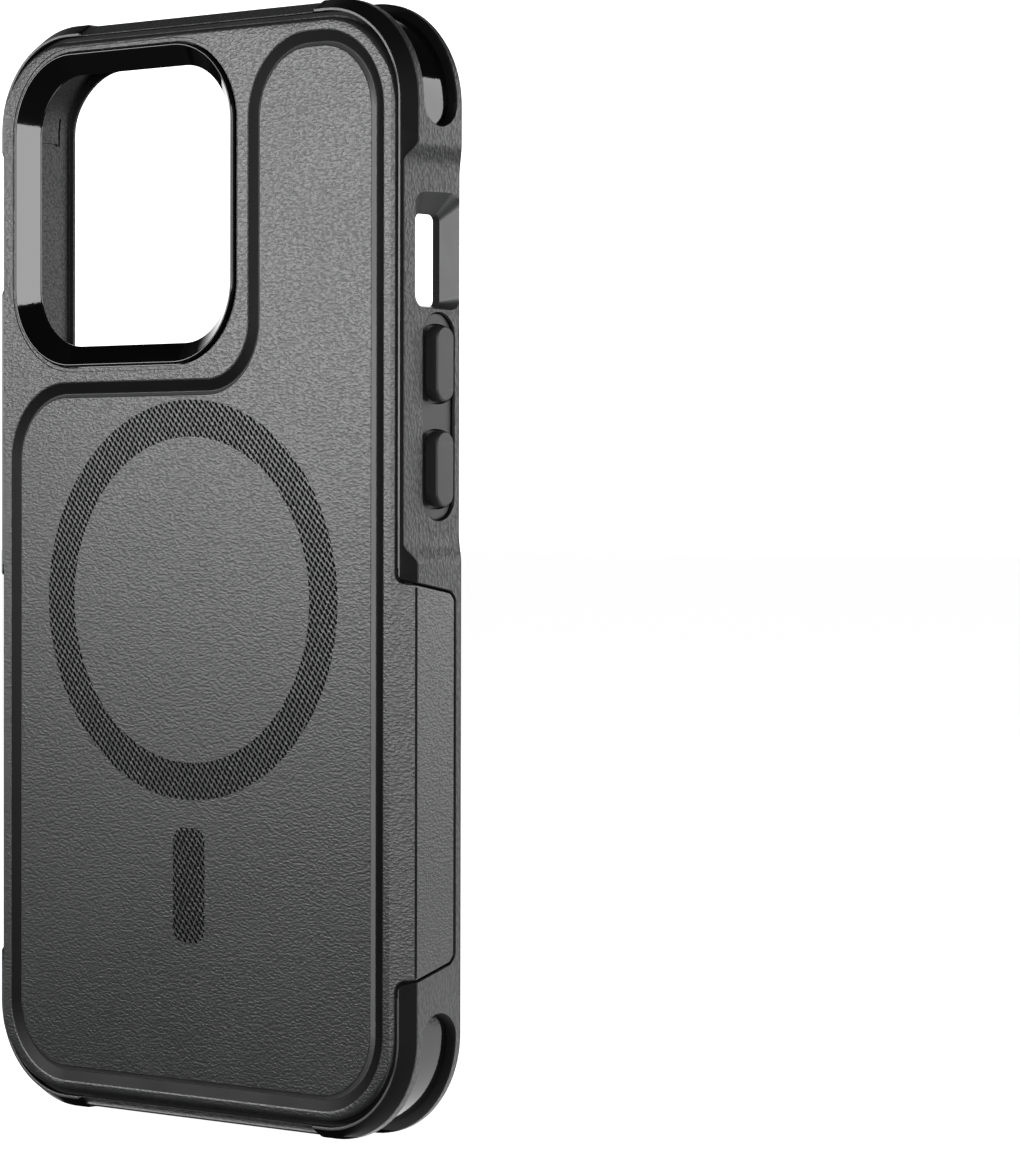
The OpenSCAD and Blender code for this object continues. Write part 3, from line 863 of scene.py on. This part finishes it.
def clip_line(a, b):
    """The longest stretch of a line that stays on the floor."""
    a, b = np.array(a, float), np.array(b, float)
    shares = np.linspace(0, 1, 241)
    points = a + shares[:, None] * (b - a)
    good = inside(points, net_limit) & ~inside(points, net_hole)
    best, start = (0, -1), None
    for i, ok in enumerate(list(good) + [False]):
        if ok and start is None:
            start = i
        if not ok and start is not None:
            best = max(best, (start, i - 1), key=lambda s: s[1] - s[0])
            start = None
    return (tuple(points[best[0]]), tuple(points[best[1]])) if best[1] - best[0] > 2 else None


net_lines = []
for a, b, wide_a, wide_b in net:
    a, b = np.array(a, float), np.array(b, float)
    across = np.array([-(b - a)[1], (b - a)[0]]) / np.linalg.norm(b - a)
    for side in (-1, 0, 1):
        clipped = clip_line(a + side * wide_a * across, b + side * wide_b * across)
        if clipped:
            net_lines.append(clipped)
print("grooves:", len(net), "of which lines on the floor:", len(net_lines))

# %% Floor, underside and camera opening of the bumper


def floor_sheet(points):
    on_floor = inside(points, net_limit) & ~inside(points, net_hole)
    return back_plane(points, back_wall - groove_deep * net_depth(points) * on_floor)


bumper.finish = INSIDE
opening_levels = [(opening_bevel, back_wall), (0.48, back_wall - 0.04),
                  (0.05, back_wall - 0.62), (0.0, back_wall - 0.75),
                  (0.0, 2.32), (2.1, 2.32), (2.1, plate_t + 0.02)]
opening_rings = bumper.stack([(grow(opening_plan, g), d) for g, d in opening_levels], back_plane)
bumper.fill([([ring[-1] for ring in rings], floor_rim), (opening_rings[0], opening_edge)],
            floor_sheet, lines=net_lines)

ring_r, ring_w, ring_z = 28.0, 5.2, -4.4
bar_z = ring_z - 39.94
bar_w, bar_h = 6.1, 16.1
bed_deep = 1.0
ring_bed = round_rect(0, ring_z, 2 * 27.5, 2 * 27.5, 27.5)
ring_core = round_rect(0, ring_z, 2 * 23.3, 2 * 23.3, 23.3)
bar_bed = round_rect(0, bar_z, bar_w + 0.2, bar_h + 0.2, 2.1)
under = plate_t + 0.02
core_rings, ring_rings, bar_rings = (
    bumper.stack([(bed, under), (bed, under + bed_deep)], back_plane)
    for bed in (ring_core, ring_bed, bar_bed)
)


def flat_at(depth):
    return lambda points: back_plane(points, depth)


bumper.fill([(core_rings[0], ring_core)], flat_at(under))
bumper.fill([(ring_rings[1], ring_bed), (core_rings[1], ring_core)], flat_at(under + bed_deep))
bumper.fill([(bar_rings[1], bar_bed)], flat_at(under + bed_deep))
bumper.fill([([ring[0] for ring in rings], underside), (opening_rings[-1], grow(opening_plan, 2.1)),
             (ring_rings[0], ring_bed), (bar_rings[0], bar_bed)], flat_at(under))
bumper_mesh = bumper.mesh("bumper_shell")
print("bumper before cutting:", len(bumper_mesh.polygons), "faces")

# %% [markdown]
# ## Cutting the openings of the bumper
# Openings that do not follow the outline are cut from the finished sweep with closed cutters: the
# beds of the wings, the switch opening, the beds of the key strips, the slots round the corners
# and the holes in the bottom. Every cutter has a small chamfer at its mouth, since a moulded edge
# is never quite sharp. All the cutters go into one mesh, so one exact boolean does it all.

# %% Surfaces that the cutters are drawn on


def side_plane(sign):
    """Points (y, z) on a side of the case; depth is the distance from the middle plane."""
    return lambda yz, x: np.stack([sign * np.full(len(yz), x), yz[:, 0], yz[:, 1]], axis=1)


def bottom_plane(xy, depth):
    return np.stack([xy[:, 0], xy[:, 1], np.full(len(xy), depth - half_h)], axis=1)


def corner_wrap(sign_x, sign_z):
    """Points (s, y) wrapped round a corner: s runs up the side, then round the corner."""

    def wrap(sy, depth):
        s, y = sy[:, 0], sy[:, 1]
        turn = np.maximum(s, 0) / corner_r
        r = corner_r - depth
        x = corner_x + r * np.cos(turn)
        z = corner_z + r * np.sin(turn) + np.minimum(s, 0)
        beyond = np.maximum(s - corner_r * math.pi / 2, 0)
        flat = beyond > 0
        x = np.where(flat, corner_x - beyond, x)
        z = np.where(flat, corner_z + r, z)
        return np.stack([sign_x * x, y, sign_z * z], axis=1)

    return wrap


key_y = 8.0
strip_x = half_w - grip_front - 0.5
strip_back = strip_x - 2.0
inner_face = 34.9
strip_w = 6.2
volume_strip = (20.8, 28.0)
power_strip = (21.0, 22.0)
volume_up_z, volume_down_z, power_z = 27.9, 13.7, 21.0
volume_key_l, power_key_l = 10.2, 15.6
key_w = 3.55
slot_y = 7.4
slot_w, guard_w = 6.5, 6.3
slot_deep, guard_t = 1.3, 0.9
arc_run = corner_r * math.pi / 2
slot_start = 0.3 - slot_w / 2
slot_finish = arc_run + 1.0 + slot_w / 2
print("a corner slot runs", round(slot_finish - slot_start, 1), "mm")

# %% Cutters
cutters = Piece()
cutters.finish = SMOOTH
for side in (-1, 1):
    bed = [(35.5, -56.9, 0), (edge_u, -56.9, 0)] + wing_side + [(edge_u, -0.2, 0), (35.5, -0.2, 0)]
    bed = [(side * u, v, r) for u, v, r in bed]
    folds_here = [side * u for u in (37.0, crease_u, side_u)]
    bed = cut_at(round_outline(bed if side > 0 else bed[::-1]), folds_here)
    ties = ties_at(bed, [side * crease_u, side * side_u])
    cutters.column(bed, [(0.55, -1.0), (0.55, -0.10), (0.30, 0.15), (0.30, 1.12)], sheet, ties)

mouth = round_outline([(3.35, 35.4, 1.9), (12.35, 35.4, 1.9), (12.35, 51.0, 1.9), (3.35, 51.0, 1.9)])
throat = round_outline([(5.5, 35.75, 1.0), (10.5, 35.75, 1.0), (10.5, 48.3, 1.0), (5.5, 48.3, 1.0)])
face = half_w - 0.92
switch_levels = [(grow(mouth, 0.15), face + 1.0), (grow(mouth, 0.15), face + 0.05), (mouth, face - 0.12),
                 (throat * 0.06 + mouth * 0.94, face - 0.25), (throat, face - 2.0), (throat, face - 4.2)]
cutters.finish = POLISHED_LIT
cutters.stack(switch_levels, side_plane(1), (0, -1))


cutters.finish = SMOOTH


def pill(mid_y, mid_z, w, length, step=8.0):
    return round_rect(mid_y, mid_z, w, length, w / 2, step)


def strip_cutter(sign, strip, keys, key_l):
    """Bed of a key strip, with a slot through the wall behind each key."""
    plane = side_plane(sign)
    bed = pill(key_y, strip[0], strip_w, strip[1])
    levels = [(0.20, face + 1.2), (0.20, face + 0.04), (0.0, face - 0.16), (0.0, strip_back)]
    rings = cutters.stack([(grow(bed, g), x) for g, x in levels], plane, (0,))
    rims = [(rings[-1], bed)]
    for z in keys:
        slot = pill(key_y, z, 3.4, key_l - 2)
        through = cutters.stack([(slot, strip_back), (slot, inner_face)], plane, (1,))
        rims.append((through[0], slot))
    cutters.fill(rims, lambda yz: plane(yz, strip_back))


strip_cutter(1, volume_strip, (volume_up_z, volume_down_z), volume_key_l)
strip_cutter(-1, power_strip, (power_z,), power_key_l)

wrap_marks = list(np.linspace(0.4, arc_run - 0.4, 22))
for sign_x in (-1, 1):
    for sign_z in (-1, 1):
        slot_mid, slot_l = (slot_start + slot_finish) / 2, slot_finish - slot_start
        slot = round_rect(slot_mid, slot_y, slot_l, slot_w, slot_w / 2)
        slot = cut_at(slot, wrap_marks)
        levels = [(0.22, -1.2), (0.22, -0.04), (0.0, 0.2), (-0.16, slot_deep), (-0.16, slot_deep + guard_t)]
        cutters.column(slot, levels, corner_wrap(sign_x, sign_z), ties_at(slot, wrap_marks))

cutters.finish = INSIDE
wall_at = half_w - 4.15
relief = [(5.0, 9.2, 66.9, 67.2), (5.0, 9.2, 65.9, 66.2), (5.0, 9.2, 61.5, 61.8), (9.4, 9.7, 61.5, 67.2)]
for side in (-1, 1):
    for y0, y1, z0, z1 in relief:
        mark = round_rect((y0 + y1) / 2, (z0 + z1) / 2, y1 - y0, z1 - z0, 0.0)
        mark_levels = [(0.05, wall_at - 0.3), (0.05, wall_at), (0.0, wall_at + 0.25)]
        cutters.column(mark, mark_levels, side_plane(side))
cutters.finish = SMOOTH
for mid, w, h in ((0, 14.0, 6.4), (-15.4, 9.2, 3.2), (15.4, 9.2, 3.2)):
    hole = round_rect(mid, 7.65, w, h, h / 2)
    hole_levels = [(0.45, -1.2), (0.45, end_drop - 0.08), (0.0, end_drop + 0.4), (0.0, 4.8)]
    cutters.column(hole, hole_levels, bottom_plane)
cutter_mesh = cutters.mesh("cutters")
print("cutters:", len(cutter_mesh.polygons), "faces")

# %% Cut with one exact boolean


def carve(name, mesh, cutter, materials):
    """The mesh with the cutter taken away, both gone afterwards."""
    body = bpy.data.objects.new(name + "_uncut", mesh)
    tool = bpy.data.objects.new(name + "_tool", cutter)
    for obj in (body, tool):
        bpy.context.scene.collection.objects.link(obj)
        if not obj.data.materials:
            for material in materials:
                obj.data.materials.append(material)
    modifier = body.modifiers.new("cut", "BOOLEAN")
    modifier.operation = "DIFFERENCE"
    modifier.solver = "EXACT"
    modifier.object = tool
    modifier.material_mode = "INDEX"
    bpy.context.view_layer.update()
    result = bpy.data.meshes.new_from_object(body.evaluated_get(bpy.context.evaluated_depsgraph_get()))
    result.name = name
    for obj in (body, tool):
        bpy.data.objects.remove(obj)
    bm = bmesh.new()
    bm.from_mesh(result)
    bmesh.ops.remove_doubles(bm, verts=bm.verts, dist=0.002 * MM)
    bmesh.ops.dissolve_degenerate(bm, edges=bm.edges, dist=0.001 * MM)
    open_edges = sum(1 for edge in bm.edges if len(edge.link_faces) != 2)
    bm.to_mesh(result)
    bm.free()
    print(name, "after cutting:", len(result.polygons), "faces,", open_edges, "open edges")
    return result


shell_mesh = carve("soft_bumper_shell", bumper_mesh, cutter_mesh, bumper_finishes)
add_piece("soft_bumper_shell", shell_mesh, bumper_finishes, "case", ["bumper"])

# %% [markdown]
# ## The glossy camera bezel
# A separate frame of hard gloss plastic lines the camera window. It has a narrow flat rim, then a
# wide slope down to the opening that mirrors the room in broad bands, and a flange under the plate
# that holds it. Its section is the same all round, so it is one loop of outlines.

# %% Camera bezel
bezel = Piece()
bezel_out = 0.5
bezel_section = [
    (3.0, plate_t), (3.0, 0.24 - bezel_out), (2.97, 0.14 - bezel_out), (2.90, 0.06 - bezel_out),
    (2.80, 0.01 - bezel_out), (2.72, -bezel_out), (2.63, 0.02 - bezel_out), (2.55, 0.08 - bezel_out),
    (0.14, 1.86), (0.03, 1.94), (0.0, 2.04), (0.0, 2.2), (3.7, 2.2), (3.7, plate_t + 0.02),
]
fine_window = round_rect(window_x, window_z, window_w, window_h, window_r, 2.0)


bezel_rings = bezel.stack([(grow(fine_window, g), d) for g, d in bezel_section], back_plane)
bezel.skin([bezel_rings[-1], bezel_rings[0]])
add_piece("window_bezel", bezel.mesh("window_bezel"), [gloss_black], "case", ["camera_bezel"])

# %% [markdown]
# ## Corner guards
# At the bottom of each corner slot lies a gloss black guard: a strip with round ends, bent round
# the corner. It is drawn straight as a pill and wrapped round the corner by the same function that
# wrapped its slot, with many ties across it so that the bend is smooth.

# %% Corner guards
guard_marks = list(np.linspace(0.4, arc_run - 0.4, 40))
guard_levels = [(-0.06, slot_deep + guard_t - 0.02), (-0.02, slot_deep + 0.30), (-0.03, slot_deep + 0.12),
                (-0.08, slot_deep + 0.03), (-0.18, slot_deep)]
for sign_x, side_name in ((1, "right"), (-1, "left")):
    for sign_z, end_name in ((1, "top"), (-1, "bottom")):
        guard_mid, guard_l = (slot_start + slot_finish) / 2, slot_finish - slot_start - 0.2
        plan_g = round_rect(guard_mid, slot_y, guard_l, guard_w, guard_w / 2)
        plan_g = cut_at(plan_g, guard_marks)
        guard = Piece()
        guard.column(plan_g, guard_levels, corner_wrap(sign_x, sign_z), ties_at(plan_g, guard_marks))
        name = "guard_" + end_name + "_" + side_name
        add_piece(name, guard.mesh(name), [gloss_black], "case",
                  ["corner_guard_" + end_name + "_" + side_name])

# %% [markdown]
# ## Key strips
# The keys sit in smooth strips set into the grained side. Each key has a moat across the strip, so
# that a finger feels its edge, and between two keys the strip stays at full height. The strip is a
# pill with the moats carved out and a slot for each stem.

# %% Key strips
moat_deep, moat_gap = 1.1, 0.22


def key_strip(name, node, sign, strip, keys, key_l):
    plane = side_plane(sign)
    body, moats = Piece(), Piece()
    outline = pill(key_y, strip[0], strip_w - 0.04, strip[1] - 0.04)
    body_levels = [(0, strip_back + 0.02), (0, strip_x - 0.12), (-0.04, strip_x - 0.04), (-0.12, strip_x)]
    body.column(outline, body_levels, plane)
    for z in keys:
        half_l = key_l / 2 + moat_gap
        floor_x, top = strip_x - moat_deep, strip_x + 0.6
        tub = [round_rect(key_y, z, 11.0, 2 * (half_l + g), 5.2 + g) for g in (0.14, 0.14, 0.05, 0.0)]
        tub_rings = moats.stack(list(zip(tub, (top, strip_x, strip_x - 0.16, floor_x))), plane, (0,))
        slot = pill(key_y, z, 2.4, key_l - 2.4)
        slot_rings = moats.stack([(slot, floor_x), (slot, strip_back - 0.5)], plane, (1,))
        moats.fill([(tub_rings[-1], tub[-1]), (slot_rings[0], slot)], lambda yz: plane(yz, floor_x))
    mesh = carve(name, body.mesh(name + "_blank"), moats.mesh(name + "_moats"), [strip_smooth])
    add_piece(name, mesh, [strip_smooth], "case", [node])


key_strip("volume_strip", "volume_key_strip", 1, volume_strip, (volume_up_z, volume_down_z), volume_key_l)
key_strip("power_strip", "power_key_strip", -1, power_strip, (power_z,), power_key_l)

# %% [markdown]
# ## Keys that move
# Each key is one moulding: a cap with a rounded edge, a stem through the strip and a flange behind
# it. Pressing it moves it half a millimetre into the case, so each key rides on a body of its own.
# All its sections are pills with the same number of points, so one skin joins them.

# %% Keys
key_top = strip_x + 1.7


def key(name, node, body, sign, z, key_l):
    levels = [
        (2.8, key_l - 2.6, strip_back - 0.55), (2.8, key_l - 2.6, strip_back - 0.10),
        (1.8, key_l - 3.0, strip_back - 0.10), (1.8, key_l - 3.0, strip_x - 0.4),
        (key_w - 0.12, key_l - 0.12, strip_x - 0.4), (key_w, key_l, strip_x - 0.3),
        (key_w, key_l, key_top - 0.34), (key_w - 0.05, key_l - 0.05, key_top - 0.22),
        (key_w - 0.24, key_l - 0.24, key_top - 0.07), (key_w - 0.36, key_l - 0.36, key_top - 0.02),
        (key_w - 0.52, key_l - 0.52, key_top),
    ]
    piece = Piece()
    piece.stack([(pill(key_y, z, w, length, 6.0), x) for w, length, x in levels], side_plane(sign), (0, -1))
    add_piece(name, piece.mesh(name), [key_satin], body, [node])


key("volume_up_cap", "volume_up_key", "volume_up", 1, volume_up_z, volume_key_l)
key("volume_down_cap", "volume_down_key", "volume_down", 1, volume_down_z, volume_key_l)
key("power_cap", "power_key", "power", -1, power_z, power_key_l)

# %% [markdown]
# ## Printed ring and bar
# The ring and the bar on the back are printed with short slanting black dashes in staggered rows.
# A texture could draw them, but here each dash is a real thin pad of ink, a few hundredths of a
# millimetre high, so it also shows in the exported mesh. Dashes that cross the border are cut off
# along it, as on a printed part.

# %% Ink dashes
dash_pitch, dash_row, dash_shift = 1.07, 0.645, -0.33
dash_l, dash_w = 0.85, 0.39
dash_lean = math.radians(124)
ink = 0.03
lean = np.array([math.cos(dash_lean), math.sin(dash_lean)])
flank = np.array([-lean[1], lean[0]])
dash_shape = [(-0.5, -0.5), (0.5, -0.5), (0.5, 0.5), (-0.5, 0.5)]


def clip_dash(corners, keep):
    """The part of a small convex shape where keep(point) is not negative."""
    out = []
    for i, here in enumerate(corners):
        there = corners[(i + 1) % len(corners)]
        a, b = keep(here), keep(there)
        if a >= 0:
            out.append(here)
        if (a >= 0) != (b >= 0):
            out.append(here + (there - here) * (a / (a - b)))
    return out


def print_dashes(name, node, mid_z, reach_u, reach_v, keeps):
    piece = Piece()
    rows = range(-int(reach_v / dash_row) - 1, int(reach_v / dash_row) + 2)
    columns = range(-int(reach_u / dash_pitch) - 1, int(reach_u / dash_pitch) + 2)
    for row in rows:
        for column in columns:
            centre = np.array([column * dash_pitch - (row * dash_shift) % dash_pitch, row * dash_row])
            corners = [centre + a * dash_l * lean + b * dash_w * flank for a, b in dash_shape]
            for keep in keeps:
                corners = clip_dash(corners, keep) if corners else corners
            if len(corners) < 3:
                continue
            flat = np.array(corners) + np.array([0.0, mid_z])
            low, high = piece.stack([(flat, 0.02), (flat, -ink)], back_plane)
            piece.face(tuple(high))
            piece.face(tuple(low))
    return add_piece(name, piece.mesh(name, 0.00001), [print_black], "case", [node])


def bar_edge(point):
    """Distance inside the bar's round outline."""
    off = np.abs(point) - np.array([bar_w / 2 - 2.0, bar_h / 2 - 2.0])
    return 2.0 - float(np.linalg.norm(np.maximum(off, 0)) + min(max(off[0], off[1]), 0.0))


ring_keeps = [
    lambda p: ring_r - float(np.linalg.norm(p)),
    lambda p: float(np.linalg.norm(p)) - (ring_r - ring_w),
]
print_dashes("ring_print", "ring_mark", ring_z, ring_r, ring_r, ring_keeps)
print_dashes("bar_print", "bar_mark", bar_z, bar_w / 2, bar_h / 2, [bar_edge])

# %% [markdown]
# ## Magnets between the shells
# The ring of arc magnets, the upright magnet below it and their backing films lie between the two
# shells and cannot be seen from outside. Their CAD shapes are already right, so they keep them and
# only get their finishes: nickel for the magnets and a pale film.

# %% Finish the hidden CAD nodes
for node, material in (("magnet_segments", magnet_nickel), ("alignment_magnet", magnet_nickel),
                       ("magnet_film", backing_film), ("alignment_film", backing_film)):
    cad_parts[node].data.materials.clear()
    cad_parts[node].data.materials.append(material)
    print(node, "is finished as", material.name)


# %% [markdown]
# ## Floor and studio light
# A black product is drawn by what it reflects. One soft light stands left in front of the panel
# and fades towards its foot, one stands far to the right and fills the side, and one behind the
# camera lights the slope of the bezel. A low one on the table lights what faces down. Elsewhere it
# stays dark, so that bevels and grooves read as dark lines. Only the camera sees the pale floor
# and backdrop.

# %% Floor
floor_data = bpy.data.meshes.new("floor")
floor_data.from_pydata([(-9, -9, 0), (9, -9, 0), (9, 9, 0), (-9, 9, 0)], [], [(0, 1, 2, 3)])
floor = bpy.data.objects.new("floor", floor_data)
bpy.context.scene.collection.objects.link(floor)
pale = bpy.data.materials.new("pale floor")
pale.use_nodes = True
tree = pale.node_tree
paint = tree.nodes["Principled BSDF"]
paint.inputs["Base Color"].default_value = (0.80, 0.80, 0.80, 1)
paint.inputs["Roughness"].default_value = 0.95
paint.inputs["Specular IOR Level"].default_value = 0.0
paint.inputs["Emission Color"].default_value = (1, 1, 1, 1)
paint.inputs["Emission Strength"].default_value = 0.93
dim = new_node(tree, "BsdfDiffuse", {"Color": (0.06, 0.06, 0.06, 1)})
path = new_node(tree, "LightPath")
chooser = new_node(tree, "MixShader", {
    0: path.outputs["Is Camera Ray"], 1: dim.outputs[0], 2: paint.outputs[0],
})
tree.links.new(chooser.outputs[0], tree.nodes["Material Output"].inputs["Surface"])
floor_data.materials.append(pale)
print("floor:", floor.name)

# %% Backdrop
bpy.context.scene.view_settings.view_transform = "Standard"
world = bpy.data.worlds.new("studio")
world.use_nodes = True
sky = world.node_tree
backdrop = sky.nodes["Background"]
backdrop.inputs["Color"].default_value = (1.0, 1.0, 1.0, 1)
toward = new_node(sky, "TexCoord").outputs["Generated"]
facing = new_node(sky, "VectorMath", {0: toward, 1: (-0.64, 0.77, 0.0)}, operation="DOT_PRODUCT")
glow = ranged(sky, facing.outputs["Value"], 0.74, 0.97, 0.015, 1.8)
seen = new_node(sky, "LightPath").outputs["Is Camera Ray"]
sky.links.new(math_node(sky, "MAXIMUM", glow, seen), backdrop.inputs["Strength"])
bpy.context.scene.world = world
print("backdrop:", world.name)

# %% Softboxes


def softbox(name, place, target, size, radiance):
    light = bpy.data.lights.new(name, "AREA")
    light.shape = "RECTANGLE"
    light.size, light.size_y = size
    light.energy = radiance * math.pi * size[0] * size[1]
    obj = bpy.data.objects.new(name, light)
    obj.location = place
    obj.rotation_euler = (Vector(target) - Vector(place)).to_track_quat("-Z", "Y").to_euler()
    obj.visible_camera = False
    bpy.context.scene.collection.objects.link(obj)


softbox("panel light", (-0.31, -0.48, 0.169), (0.0, 0.0, 0.103), (0.35, 0.20), 11.0)
softbox("side light", (0.42, 0.50, 0.16), (0.04, 0.0, 0.10), (0.50, 0.52), 5.0)
softbox("slope light", (0.62, -0.64, 0.19), (0.0, 0.0, 0.09), (0.50, 0.50), 9.0)
softbox("table light", (0.055, 0.0525, 0.0006), (0.055, 0.0525, 1.0), (0.21, 0.113), 2.2)
